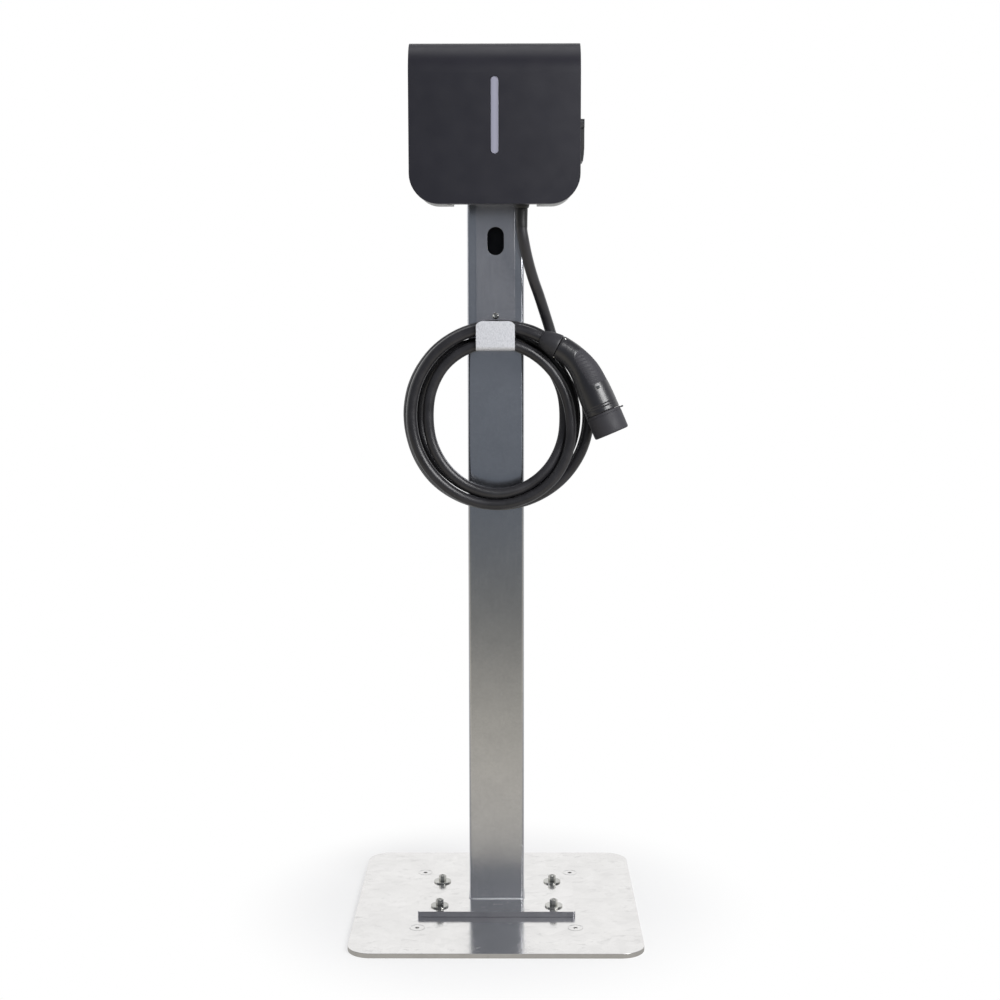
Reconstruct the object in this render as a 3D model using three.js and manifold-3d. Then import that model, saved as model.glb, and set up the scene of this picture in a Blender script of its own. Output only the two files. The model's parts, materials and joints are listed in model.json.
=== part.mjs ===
// A free-standing post for charging an electric car: a heavy base plate, a steel post bolted to
// it, a wall box hung on the post, and a fixed lead whose coil hangs on a hook under the box.
// Millimetres, +Z up, the front faces -Y, origin at the bottom centre of the base plate.

import * as THREE from 'three';
import Module from 'manifold-3d';
import { mergeVertices } from 'three/addons/utils/BufferGeometryUtils.js';

const wasm = await Module();
wasm.setup();

// ---------------------------------------------------------------- driving dimensions

const GAP = 0.3; // clearance between neighbouring pieces

const PLATE = { size: 420, thick: 7, corner: 34, screwAt: 115 };
const PLATE_SCREW = { head: 11, depth: 5.5, shank: 4, socket: 3.4, socketDepth: 4, sunk: 0.1 };
const FLANGE = { width: 233, depth: 148, thick: 8, studX: 85, studY: 51 };
const FLANGE_BASE = PLATE.thick + GAP;
const FLANGE_TOP = FLANGE_BASE + FLANGE.thick;

const POST = { width: 82, depth: 44, wall: 2.5, corner: 4.5, top: 1225 };
const POST_BASE = FLANGE_TOP + GAP;
const POST_CAP = { thick: 3, plug: 14 };
const SLOT = { width: 24, height: 40, z: 997 };

const RAIL = { width: 55, thick: 3, top: 1215, back: POST.depth / 2 + GAP };
const HOOK = { shelf: 844.3, reach: 50, lipTop: 883, bend: 3, lipCorner: 9, screwZ: 890 };
const SCREW = { bore: 2.8, shank: 2.4, long: 12, socket: 1.7 };
const RAIL_FRONT = RAIL.back + RAIL.thick;

const STUD = { radius: 3, top: 26.4, washer: 13.2, washerThick: 1.8, nutAcross: 10, nutHigh: 8.4 };

// the wall box: the cover is a hood that rolls back over the top of a pale housing
const BOX = { bottom: 1042.5, top: 1262, front: 139, half: 117, roll: 46, corner: 41, wall: 3 };
const COVER = { skirtBack: 121.3, topBack: 32 };
const COVER_SCREW = { x: 62, y: -128, top: 1056, radius: 1.8, head: 3.4 };
const HOUSING = { half: 113, bottom: 1045.6, front: 118, back: RAIL_FRONT + GAP, corner: 37, inset: 3.6 };
const RECESS = { half: 59, top: 1055, wall: 3 };
const LIGHT = { width: 11.8, bottom: 1109.4, top: 1212.6 };
const GLAND = { x: 37, y: -78, nutRadius: 12, tip: 1039.6, dome: 8, sleeve: 8 };
const BOX_SCREW_HEIGHTS = [1080, 1200];

// what the box holds, each as [left, right, front, back, bottom, top]
const MAIN_BOARD = [-101, 46, -111.9, -110.3, 1066, 1238];
const LIGHT_BOARD = [-9, 9, -133.5, -131.9, 1108, 1214];
const CONTACTOR = [-95, -52, -88, -30, 1112, 1190];
const CONTACTOR_STEP = { depth: 18, height: 12 };
const TERMINALS = [-90, -26, -60, -30, 1068, 1096];
const TERMINAL_MOUTH = { first: -82, pitch: 12, count: 5, half: 3.5, back: -48, bottom: 1072, top: 1090 };
const SENSOR = { outer: 20, inner: 11, bottom: 1075, top: 1090 };
const PILLARS = { radius: 4, front: -110, places: [[-96, 1072], [-96, 1232], [41, 1232], [41, 1104]] };

// the hinged flap on the right-hand side, the frame it hangs on, and the breaker behind it
const FLAP = { inner: 119, thick: 4.6, bottom: 1103, pinZ: 1156, back: -52, front: -100 };
const FRAME = { rim: 4, earThick: 3, earTop: 3.5, earLow: 8 };
const WINDOW = { back: -58, front: -94, bottom: 1112, top: 1150 };
const BREAKER = { left: 50, right: 104, front: -95, back: -57, bottom: 1096, top: 1180 };
const LEVER = { x: 98.5, y: -76, z: 1135, hub: 4.5, width: 15.4, reach: 16, restAngle: 30 };

// the lead
const CABLE = { radius: 7.7, sides: 10 };
const COIL = { x: 2, z: 747.5, inner: 90, outer: 138, front: 74.6, back: RAIL_FRONT + 0.4 };
const COIL_NOTCH = { fromAngle: -8, toAngle: 77, inner: 112.5, front: 54 };
const DROP_ROUTE = [
  [37, -78, 1039.3], [37, -78, 1025], [37.6, -77.5, 1010], [40, -75, 996], [43.5, -69, 979],
  [48.7, -60, 959], [55, -50.5, 939], [62, -42, 920], [69.5, -33.5, 897.5], [75.6, -26.5, 879],
];

// the connector, laid out along its own curved axis from the joint between collar and handle
const PLUG = { x: 89.6, y: -74, z: 846.9, slope: 27.2, lean: 6, bend: 39.5, bendRadius: 94 };
const PLUG_LENGTHS = { collar: 28, shell: 115, nose: 137, cap: 147.5 };
const PLUG_WALL = 3;
const NOSE = { radius: 20.6, flat: 17, bore: 92, back: 84 };
const CAP = { radius: 25.3, wall: 3.4, end: 3.2 };
const TAIL_ROUTE = [[36, -66.4, 870.5], [46, -68, 867.5], [56, -70, 863.6], [64.2, -70.9, 859.9]];

const rad = THREE.MathUtils.degToRad;

// ---------------------------------------------------------------- joining and cutting

function solidOf(geometry) {
  const bare = geometry.clone();
  bare.deleteAttribute('normal');
  bare.deleteAttribute('uv');
  const merged = mergeVertices(bare, 1e-4);
  const index = merged.index.array;
  const kept = [];
  for (let i = 0; i < index.length; i += 3) {
    const [a, b, c] = [index[i], index[i + 1], index[i + 2]];
    if (a !== b && b !== c && c !== a) kept.push(a, b, c);
  }
  const vertProperties = new Float32Array(merged.attributes.position.array);
  const mesh = new wasm.Mesh({ numProp: 3, vertProperties, triVerts: new Uint32Array(kept) });
  return new wasm.Manifold(mesh);
}

function geometryOf(solid) {
  const mesh = solid.getMesh();
  const geometry = new THREE.BufferGeometry();
  geometry.setAttribute('position', new THREE.BufferAttribute(mesh.vertProperties, 3));
  geometry.setIndex(new THREE.BufferAttribute(mesh.triVerts, 1));
  return geometry;
}

function cut(geometry, ...tools) {
  return geometryOf(tools.reduce((solid, tool) => solid.subtract(solidOf(tool)), solidOf(geometry)));
}

function join(geometry, ...others) {
  return geometryOf(others.reduce((solid, other) => solid.add(solidOf(other)), solidOf(geometry)));
}

function common(geometry, ...others) {
  return geometryOf(others.reduce((solid, other) => solid.intersect(solidOf(other)), solidOf(geometry)));
}

// ---------------------------------------------------------------- basic shapes

function box(x0, x1, y0, y1, z0, z1) {
  const geometry = new THREE.BoxGeometry(x1 - x0, y1 - y0, z1 - z0);
  return geometry.translate((x0 + x1) / 2, (y0 + y1) / 2, (z0 + z1) / 2);
}

function upright(radius, x, y, z0, z1, sides = 20) {
  const geometry = new THREE.CylinderGeometry(radius, radius, z1 - z0, sides);
  return geometry.rotateX(Math.PI / 2).translate(x, y, (z0 + z1) / 2);
}

function rodForward(radius, x, z, y0, y1, sides = 16) {
  return new THREE.CylinderGeometry(radius, radius, y1 - y0, sides).translate(x, (y0 + y1) / 2, z);
}

// a rectangle with its own radius at the bottom corners and at the top corners
function rectangle(x0, x1, z0, z1, low, high = low) {
  const shape = new THREE.Shape();
  shape.moveTo(x0 + low, z0);
  shape.lineTo(x1 - low, z0);
  shape.absarc(x1 - low, z0 + low, low, -Math.PI / 2, 0);
  shape.lineTo(x1, z1 - high);
  shape.absarc(x1 - high, z1 - high, high, 0, Math.PI / 2);
  shape.lineTo(x0 + high, z1);
  shape.absarc(x0 + high, z1 - high, high, Math.PI / 2, Math.PI);
  shape.lineTo(x0, z0 + low);
  shape.absarc(x0 + low, z0 + low, low, Math.PI, Math.PI * 1.5);
  return shape;
}

function extrude(shape, depth, curveSegments) {
  return new THREE.ExtrudeGeometry(shape, { depth, bevelEnabled: false, curveSegments });
}

// a plan outline (x, y) raised from z0 to z1
function raise(shape, z0, z1, curveSegments = 6) {
  return extrude(shape, z1 - z0, curveSegments).translate(0, 0, z0);
}

// a front outline (x, z) carried from its distance `front` back to its distance `back`
function carryBack(shape, front, back, curveSegments = 6) {
  return extrude(shape, front - back, curveSegments).rotateX(Math.PI / 2).translate(0, -back, 0);
}

// a side outline (distance forward, z) carried from x0 to x1
function carryAcross(shape, x0, x1, curveSegments = 6) {
  const turn = new THREE.Matrix4().makeBasis(
    new THREE.Vector3(0, -1, 0), new THREE.Vector3(0, 0, 1), new THREE.Vector3(-1, 0, 0));
  return extrude(shape, x1 - x0, curveSegments).applyMatrix4(turn).translate(x1, 0, 0);
}

function tubeAlong(route, radius, sides, steps) {
  const curve = new THREE.CatmullRomCurve3(route.map(([x, y, z]) => new THREE.Vector3(x, y, z)));
  const section = new THREE.Shape();
  for (let i = 0; i < sides; i += 1) {
    const angle = (2 * Math.PI * i) / sides;
    const point = [radius * Math.cos(angle), radius * Math.sin(angle)];
    if (i === 0) section.moveTo(...point);
    else section.lineTo(...point);
  }
  return new THREE.ExtrudeGeometry(section, { steps, extrudePath: curve, bevelEnabled: false });
}

function turned(profile, segments) {
  return new THREE.LatheGeometry(profile.map(([r, y]) => new THREE.Vector2(r, y)), segments);
}

// ---------------------------------------------------------------- the scene

const post = new THREE.Group();

const FINISH = {
  plate: [0xd9dad8, 0.28, 1], steel: [0x8b9096, 0.42, 1], rail: [0xa7aab0, 0.4, 1],
  zinc: [0xb9bbb8, 0.35, 1], cover: [0x37373c, 0.62, 0], pale: [0xb4b6b8, 0.55, 0],
  black: [0x1c1c1e, 0.5, 0], rubber: [0x242426, 0.85, 0], glow: [0xa3a3b2, 0.3, 0],
  board: [0x1f5b3a, 0.6, 0], brass: [0xc8a24a, 0.3, 1], gloss: [0x2a2b2d, 0.22, 0],
};

function add(parent, name, geometry, finish) {
  const [color, roughness, metalness] = FINISH[finish];
  const material = new THREE.MeshStandardMaterial({ color, roughness, metalness });
  const mesh = new THREE.Mesh(geometryOf(solidOf(geometry)), material);
  mesh.name = name;
  parent.add(mesh);
  return mesh;
}

function corners(x, y) {
  return [[-x, -y], [x, -y], [-x, y], [x, y]];
}

// ---------------------------------------------------------------- base and post

function countersunk(radius, depth, shank, top, grow) {
  return turned([[0, top - 40], [shank, top - 40], [shank, top - depth], [radius, top],
    [radius, top + grow], [0, top + grow]], 16).rotateX(Math.PI / 2);
}

function basePlate() {
  const half = PLATE.size / 2;
  const sheet = raise(rectangle(-half, half, -half, half, PLATE.corner), 0, PLATE.thick, 8);
  const tools = corners(PLATE.screwAt, PLATE.screwAt).map(([x, y]) =>
    countersunk(PLATE_SCREW.head + GAP, PLATE_SCREW.depth, PLATE_SCREW.shank + GAP, PLATE.thick, 1)
      .translate(x, y, 0));
  const holes = corners(FLANGE.studX, FLANGE.studY).map(([x, y]) =>
    upright(STUD.radius + GAP, x, y, -1, PLATE.thick + 1));
  return cut(sheet, ...tools, ...holes);
}

// flush countersunk screws that hold the feet pads under the plate's corners
function plateScrew() {
  const { head, depth, shank, socket, socketDepth, sunk } = PLATE_SCREW;
  const top = PLATE.thick - sunk;
  const blank = turned([[0, 2 * GAP], [shank, 2 * GAP], [shank, PLATE.thick - depth + GAP],
    [head - GAP, top], [0, top]], 16).rotateX(Math.PI / 2);
  return cut(blank, upright(socket, 0, 0, PLATE.thick - socketDepth, PLATE.thick + 1, 6));
}

function footFlange() {
  const [w, d] = [FLANGE.width / 2, FLANGE.depth / 2];
  const sheet = raise(rectangle(-w, w, -d, d, 3), FLANGE_BASE, FLANGE_TOP, 2);
  const holes = corners(FLANGE.studX, FLANGE.studY).map(([x, y]) =>
    upright(STUD.radius + 0.8, x, y, FLANGE_BASE - 1, FLANGE_TOP + 1));
  return cut(sheet, ...holes);
}

function postTube() {
  const [w, d, wall] = [POST.width / 2, POST.depth / 2, POST.wall];
  const outside = rectangle(-w, w, -d, d, POST.corner);
  const bore = rectangle(-w + wall, w - wall, -d + wall, d - wall, POST.corner - wall);
  outside.holes.push(bore);
  const slot = carryBack(slotShape(), d + 1, d - wall - 1);
  const screws = [HOOK.screwZ, ...BOX_SCREW_HEIGHTS].map((z) =>
    rodForward(SCREW.bore, 0, z, -d - 1, -d + wall + 1));
  return cut(raise(outside, POST_BASE, POST.top, 4), slot, ...screws);
}

function slotShape() {
  const [w, h] = [SLOT.width / 2, SLOT.height / 2];
  return rectangle(-w, w, SLOT.z - h, SLOT.z + h, w - 0.01);
}

function postTopCap() {
  const [w, d] = [POST.width / 2, POST.depth / 2];
  const inset = POST.wall + GAP;
  const lid = raise(rectangle(-w, w, -d, d, POST.corner), POST.top + GAP, POST.top + POST_CAP.thick, 4);
  const plug = raise(rectangle(-w + inset, w - inset, -d + inset, d - inset, POST.corner - inset + 1),
    POST.top - POST_CAP.plug, POST.top + 1, 4);
  return join(lid, plug);
}

// one strip of plate: the rail behind the box, bent forward into a shelf and up into a lip
function hookBracket() {
  const [back, front] = [RAIL.back, RAIL_FRONT];
  const [inner, outer] = [front + HOOK.reach, front + HOOK.reach + RAIL.thick];
  const [top, under] = [HOOK.shelf, HOOK.shelf - RAIL.thick];
  const [small, big] = [HOOK.bend, HOOK.bend + RAIL.thick];
  const side = new THREE.Shape();
  side.moveTo(back, RAIL.top);
  side.lineTo(back, under + big);
  side.absarc(back + big, under + big, big, Math.PI, Math.PI * 1.5);
  side.lineTo(outer - big, under);
  side.absarc(outer - big, under + big, big, -Math.PI / 2, 0);
  side.lineTo(outer, HOOK.lipTop);
  side.lineTo(inner, HOOK.lipTop);
  side.lineTo(inner, top + small);
  side.absarc(inner - small, top + small, small, 0, -Math.PI / 2, true);
  side.lineTo(front + small, top);
  side.absarc(front + small, top + small, small, -Math.PI / 2, -Math.PI, true);
  side.lineTo(front, RAIL.top);
  const half = RAIL.width / 2;
  const strip = carryAcross(side, -half, half, 4);
  const lip = rectangle(-half - 1, half + 1, under - 1, HOOK.lipTop, 0.5, HOOK.lipCorner + 1);
  const lipBlank = box(-half - 1, half + 1, -outer - 1, -inner + 1, HOOK.lipTop - 20, HOOK.lipTop + 1);
  const trim = cut(lipBlank, carryBack(lip, outer + 2, inner - 2, 6));
  const screws = [HOOK.screwZ, ...BOX_SCREW_HEIGHTS].map((z) =>
    rodForward(SCREW.bore, 0, z, -front - 1, -back + 1));
  return cut(strip, trim, carryBack(slotShape(), front + 1, back - 1), ...screws);
}

// a pan-head screw pointing back into the post, its head seated at the distance `seat`
function panScrew(seat, x, z, headRadius, headHigh) {
  const head = turned([[0, 0], [headRadius, 0], [headRadius, headHigh * 0.45],
    [headRadius * 0.6, headHigh], [0, headHigh]], 16);
  const shank = new THREE.CylinderGeometry(SCREW.shank, SCREW.shank, SCREW.long, 12)
    .translate(0, 0.5 - SCREW.long / 2, 0);
  const socket = new THREE.CylinderGeometry(SCREW.socket, SCREW.socket, headHigh, 6)
    .translate(0, headHigh, 0);
  return cut(join(head, shank), socket).rotateX(Math.PI).translate(x, -seat, z);
}

function foot(parent) {
  corners(FLANGE.studX, FLANGE.studY).forEach(([x, y], i) => {
    const washerTop = FLANGE_TOP + GAP + STUD.washerThick;
    const stud = upright(STUD.radius, 0, 0, 0.5, STUD.top, 16);
    const washer = cut(upright(STUD.washer, 0, 0, FLANGE_TOP + GAP, washerTop, 24),
      upright(STUD.radius + 0.5, 0, 0, FLANGE_TOP - 1, washerTop + 1, 16));
    const nut = cut(
      upright(STUD.nutAcross / Math.sqrt(3), 0, 0, washerTop + GAP, washerTop + STUD.nutHigh, 6),
      upright(STUD.radius + GAP, 0, 0, washerTop - 1, washerTop + STUD.nutHigh + 1, 16));
    add(parent, `foot_stud_${i + 1}`, stud, 'zinc').position.set(x, y, 0);
    add(parent, `foot_washer_${i + 1}`, washer, 'zinc').position.set(x, y, 0);
    add(parent, `foot_nut_${i + 1}`, nut, 'zinc').position.set(x, y, 0);
  });
}

// ---------------------------------------------------------------- wall box

// a block whose front top edge is rolled back: `inset` shrinks it evenly on every face
function rolledBlock(half, bottom, front, back, lowCorner, topCorner, inset) {
  const roll = BOX.roll - inset;
  const [centre, rise] = [BOX.front - BOX.roll, BOX.top - BOX.roll];
  const low = Math.max(lowCorner - inset, 1);
  const face = rectangle(-half, half, bottom, BOX.top - inset, low, Math.max(topCorner - inset, 0.6));
  const side = new THREE.Shape();
  side.moveTo(back, bottom - 1);
  side.lineTo(BOX.front - inset, bottom - 1);
  side.lineTo(BOX.front - inset, rise);
  side.absarc(centre, rise, roll, 0, Math.PI / 2);
  side.lineTo(back, BOX.top - inset);
  return common(carryBack(face, front, back, 6), carryAcross(side, -half - 1, half + 1, 9));
}

function housingShell() {
  const { half, bottom, front, back, corner } = HOUSING;
  const wall = BOX.wall;
  const block = rolledBlock(half, bottom, front, back, corner, 5, HOUSING.inset);
  const hollow = rolledBlock(half - wall, bottom + wall, front + 1, back + wall, corner - wall, 5,
    HOUSING.inset + wall);
  const step = box(-RECESS.half - RECESS.wall, RECESS.half + RECESS.wall, -front - 2, 0,
    bottom - 1, RECESS.top + RECESS.wall);
  const tabs = [-1, 1].map((side) => box(side * COVER_SCREW.x - 6, side * COVER_SCREW.x + 6,
    COVER_SCREW.y - 5, -front + 4, bottom + 4.6, COVER_SCREW.top + 2));
  const outside = join(cut(block, cut(hollow, step)), ...tabs, ...boardPillars());
  const recess = box(-RECESS.half, RECESS.half, -front - 2, 1, bottom - 2, RECESS.top);
  const entries = [-1, 1].map((side) =>
    upright(GLAND.sleeve + GAP, side * GLAND.x, GLAND.y, RECESS.top - 1, RECESS.top + RECESS.wall + 1));
  const mounts = BOX_SCREW_HEIGHTS.map((z) => rodForward(SCREW.bore, 0, z, -back - wall - 1, -back + 1));
  const coverBores = [-COVER_SCREW.x, COVER_SCREW.x].map((x) =>
    upright(COVER_SCREW.radius + GAP, x, COVER_SCREW.y, bottom, COVER_SCREW.top + 1, 12));
  return cut(outside, recess, breakerWindow(), ...entries, ...mounts, ...coverBores);
}

function boardPillars() {
  return PILLARS.places.map(([x, z]) =>
    rodForward(PILLARS.radius, x, z, PILLARS.front, -HOUSING.back - 1, 10));
}

function breakerWindow() {
  return box(100, FLAP.inner + 1, WINDOW.front, WINDOW.back, WINDOW.bottom, WINDOW.top);
}

function flapPinX() {
  return FLAP.inner + FLAP.thick / 2;
}

function flapPin(radius, front, back) {
  return rodForward(radius, flapPinX(), FLAP.pinZ, front, back, 12);
}

// clipped to the housing's side round its window, with two ears that carry the flap's pin
function flapFrame() {
  const { rim, earThick, earTop, earLow } = FRAME;
  const [low, high] = [HOUSING.half + GAP, FLAP.inner - GAP];
  const plate = box(low, high, FLAP.front - rim, FLAP.back + rim, WINDOW.bottom - 6, FLAP.pinZ + rim);
  const ears = [FLAP.front - rim, FLAP.back + rim - earThick].map((y) =>
    box(low, FLAP.inner + FLAP.thick, y, y + earThick, FLAP.pinZ - earLow, FLAP.pinZ + earTop));
  return cut(join(plate, ...ears), breakerWindow(), flapPin(1.2 + GAP, FLAP.front - 10, FLAP.back + 10));
}

function coverShell() {
  const { half, bottom, front, corner, wall } = BOX;
  const outside = rolledBlock(half, bottom, front, COVER.topBack, corner, 3, 0);
  const inside = rolledBlock(half - wall, bottom + wall, front - wall, 0, corner, 3, wall);
  const openBack = box(-half - 1, half + 1, -COVER.skirtBack, 1, bottom - 1, BOX.top - BOX.roll);
  const slot = carryBack(lightShape(0), front + 1, front - wall - 1);
  const { y, head, radius } = COVER_SCREW;
  const screws = [-COVER_SCREW.x, COVER_SCREW.x].flatMap((x) => [
    upright(head + GAP, x, y, bottom - 1, bottom + 2, 16),
    upright(radius + GAP, x, y, bottom, bottom + 5, 12)]);
  return cut(outside, inside, openBack, slot, ...screws);
}

function lightShape(inset) {
  const half = LIGHT.width / 2 - inset;
  return rectangle(-half, half, LIGHT.bottom + inset, LIGHT.top - inset, half - 0.01);
}

function lightGuide() {
  const lens = carryBack(lightShape(GAP), BOX.front - 0.2, BOX.front - 5);
  const flange = carryBack(rectangle(-9, 9, LIGHT.bottom - 4, LIGHT.top + 4, 3),
    BOX.front - BOX.wall - GAP, BOX.front - 5.2, 3);
  return join(lens, flange);
}

function coverSeal() {
  const [half, low, high] = [HOUSING.half - 0.5, HOUSING.bottom + 0.6, 1247];
  const ring = rectangle(-half, half, low, high, HOUSING.corner, 4);
  const inner = half - 3.5;
  ring.holes.push(rectangle(-inner, inner, low + 3.5, high - 3.5, HOUSING.corner - 3.5, 1));
  const shell = carryBack(ring, COVER.skirtBack - GAP, HOUSING.front + GAP, 5);
  return cut(shell, box(-RECESS.half, RECESS.half, -130, -100, 0, RECESS.top));
}

function coverScrew() {
  const head = upright(COVER_SCREW.head, 0, 0, BOX.bottom + GAP, BOX.bottom + 1.8, 12);
  const shank = upright(COVER_SCREW.radius, 0, 0, BOX.bottom + 0.5, COVER_SCREW.top, 10);
  return cut(join(head, shank), upright(1.2, 0, 0, BOX.bottom - 1, BOX.bottom + 1.2, 6));
}

function sideFlap() {
  const [inner, outer] = [FLAP.inner, FLAP.inner + FLAP.thick];
  const outline = new THREE.Shape();
  outline.moveTo(inner, FLAP.bottom);
  outline.lineTo(inner + 2.8, FLAP.bottom);
  outline.lineTo(outer - 0.6, FLAP.bottom + 9);
  outline.lineTo(outer, FLAP.bottom + 18);
  outline.lineTo(outer, FLAP.pinZ);
  outline.absarc(flapPinX(), FLAP.pinZ, FLAP.thick / 2, 0, Math.PI);
  const leaf = carryBack(outline, -FLAP.front, -FLAP.back, 6);
  return cut(leaf, flapPin(1.2 + GAP, FLAP.front - 1, FLAP.back + 1));
}

function breakerBody() {
  const { left, right, front, back, bottom, top } = BREAKER;
  const half = LEVER.width / 2 + GAP;
  const mouth = box(LEVER.x - LEVER.hub - 2, right + 1, LEVER.y - half, LEVER.y + half,
    LEVER.z - 13, LEVER.z + 13);
  return cut(box(left, right, front, back, bottom, top), mouth);
}

function breakerLever() {
  const hub = rodForward(LEVER.hub, 0, 0, -LEVER.width / 2, LEVER.width / 2, 12);
  const bar = box(0, LEVER.reach - LEVER.hub, -LEVER.width / 2, LEVER.width / 2, -2, 2);
  return join(hub, bar);
}

function glandNut() {
  const ridges = upright(GLAND.nutRadius, 0, 0, GLAND.tip + GLAND.dome - 1, RECESS.top - GAP, 12);
  const dome = turned([[0, 0], [8.6, 0], [10.4, 3], [11.4, GLAND.dome], [0, GLAND.dome]], 20)
    .rotateX(Math.PI / 2).translate(0, 0, GLAND.tip);
  const bore = upright(CABLE.radius + GAP, 0, 0, GLAND.tip - 1, RECESS.top + 1, 16);
  return cut(join(ridges, dome), bore);
}

function glandLocknut() {
  const top = RECESS.top + RECESS.wall + GAP;
  return cut(upright(13, 0, 0, top, top + 5, 6), upright(8.6, 0, 0, top - 1, top + 6, 16));
}

function glandSleeve() {
  const top = RECESS.top + RECESS.wall + 9;
  return cut(upright(GLAND.sleeve, 0, 0, RECESS.top, top, 16),
    upright(6.8, 0, 0, RECESS.top - 1, top + 1, 16));
}

function entryPlug() {
  const head = upright(11, 0, 0, RECESS.top - 5, RECESS.top - GAP, 16);
  return join(head, upright(7.9, 0, 0, RECESS.top - 2, RECESS.top + RECESS.wall + 5, 16));
}

function sensorRing() {
  const { outer, inner, bottom, top } = SENSOR;
  return cut(upright(outer, 0, 0, bottom, top, 20), upright(inner, 0, 0, bottom - 1, top + 1, 16));
}

function contactor() {
  const [left, right, front, , bottom, top] = CONTACTOR;
  const { depth, height } = CONTACTOR_STEP;
  const steps = [[bottom - 1, bottom + height], [top - height, top + 1]].map(([low, high]) =>
    box(left - 1, right + 1, front - 1, front + depth, low, high));
  return cut(box(...CONTACTOR), ...steps);
}

function terminalBlock() {
  const { first, pitch, count, half, back, bottom, top } = TERMINAL_MOUTH;
  const mouths = Array.from({ length: count }, (_, i) => first + i * pitch).map((x) =>
    box(x - half, x + half, TERMINALS[2] - 1, back, bottom, top));
  return cut(box(...TERMINALS), ...mouths);
}

function wallBox(parent) {
  add(parent, 'rear_housing', housingShell(), 'pale');
  add(parent, 'front_cover', coverShell(), 'cover');
  add(parent, 'cover_seal', coverSeal(), 'rubber');
  add(parent, 'light_guide', lightGuide(), 'glow');
  add(parent, 'light_board', box(...LIGHT_BOARD), 'board');
  add(parent, 'main_board', box(...MAIN_BOARD), 'board');
  add(parent, 'contactor', contactor(), 'black');
  add(parent, 'terminal_block', terminalBlock(), 'pale');
  add(parent, 'leakage_sensor', sensorRing(), 'black').position.set(GLAND.x, GLAND.y, 0);
  add(parent, 'breaker', breakerBody(), 'pale');
  const lever = add(parent, 'breaker_lever', breakerLever(), 'black');
  lever.position.set(LEVER.x, LEVER.y, LEVER.z);
  lever.rotation.y = rad(-LEVER.restAngle);
  add(parent, 'flap_frame', flapFrame(), 'black');
  add(parent, 'side_flap', sideFlap(), 'black');
  add(parent, 'flap_pin', flapPin(1.2, FLAP.front - 3.4, FLAP.back + 3.4), 'zinc');
  add(parent, 'gland_nut', glandNut(), 'black').position.set(GLAND.x, GLAND.y, 0);
  add(parent, 'gland_sleeve', glandSleeve(), 'black').position.set(GLAND.x, GLAND.y, 0);
  add(parent, 'gland_locknut', glandLocknut(), 'black').position.set(GLAND.x, GLAND.y, 0);
  add(parent, 'entry_plug', entryPlug(), 'black').position.set(-GLAND.x, GLAND.y, 0);
  BOX_SCREW_HEIGHTS.forEach((z, i) => add(parent, `housing_screw_${i + 1}`,
    panScrew(HOUSING.back + BOX.wall + GAP, 0, z, 5, 3.5), 'zinc'));
  [-COVER_SCREW.x, COVER_SCREW.x].forEach((x, i) =>
    add(parent, `cover_screw_${i + 1}`, coverScrew(), 'zinc').position.set(x, COVER_SCREW.y, 0));
}

// ---------------------------------------------------------------- lead

// the coil as one ring, notched where it sits on the hook and where the connector lies against it
function coilRing() {
  const { x, z, inner, outer, front, back } = COIL;
  const ring = turned([[inner, -front], [outer - 5, -front], [outer, -front + 5], [outer, -back - 5],
    [outer - 5, -back], [inner, -back], [inner, -front]], 40).translate(x, 0, z);
  const seat = box(-RAIL.width / 2 - 1, RAIL.width / 2 + 1, -front - 1, -back + 1,
    z, HOOK.shelf + HOOK.bend + GAP);
  const [from, to] = [rad(COIL_NOTCH.fromAngle), rad(COIL_NOTCH.toAngle)];
  const sector = new THREE.Shape();
  sector.moveTo(x + 200 * Math.cos(from), z + 200 * Math.sin(from));
  sector.absarc(x, z, 200, from, to);
  sector.absarc(x, z, COIL_NOTCH.inner, to, from, true);
  return cut(ring, seat, carryBack(sector, front + 1, COIL_NOTCH.front, 12));
}

function lead(parent) {
  add(parent, 'cable_drop', tubeAlong(DROP_ROUTE, CABLE.radius, CABLE.sides, 10), 'rubber');
  add(parent, 'cable_coil', coilRing(), 'rubber');
  add(parent, 'cable_tail', tubeAlong(TAIL_ROUTE, CABLE.radius, CABLE.sides, 3), 'rubber');
}

// ---------------------------------------------------------------- connector

// turns a shape made along +Y onto the connector's curved axis, which starts along +X
function ontoAxis(geometry) {
  const bend = rad(PLUG.bend);
  const arc = PLUG.bendRadius * bend;
  const laid = geometry.clone().rotateZ(-Math.PI / 2);
  const points = laid.attributes.position;
  for (let i = 0; i < points.count; i += 1) {
    const [s, out] = [points.getX(i), points.getZ(i)];
    const angle = THREE.MathUtils.clamp(s, 0, arc) / PLUG.bendRadius;
    const along = s - THREE.MathUtils.clamp(s, 0, arc);
    const x = (PLUG.bendRadius + out) * Math.sin(angle) + along * Math.cos(angle);
    const z = (PLUG.bendRadius + out) * Math.cos(angle) - PLUG.bendRadius - along * Math.sin(angle);
    points.setXYZ(i, x, points.getY(i), z);
  }
  return laid;
}

const SHELL_PROFILE = [[17, 0.3], [17.2, 9], [17.5, 18], [18.2, 26], [19.1, 34], [20.1, 42],
  [21.1, 50], [22, 58], [22.8, 66], [23.9, 80], [24.4, 92], [24.8, PLUG_LENGTHS.shell]];

function shellHalf(side) {
  const outer = [[0, 0.3], ...SHELL_PROFILE, [0, PLUG_LENGTHS.shell]];
  const inner = [[0, -5], ...SHELL_PROFILE.map(([r, s]) => [r - PLUG_WALL, s]),
    [24.8 - PLUG_WALL, PLUG_LENGTHS.shell + 5], [0, PLUG_LENGTHS.shell + 5]];
  const shell = cut(ontoAxis(turned(outer, 20)), ontoAxis(turned(inner, 20)));
  const keep = side < 0 ? box(-50, 200, -60, -GAP / 2, -200, 60) : box(-50, 200, GAP / 2, 60, -200, 60);
  return common(shell, keep);
}

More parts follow.
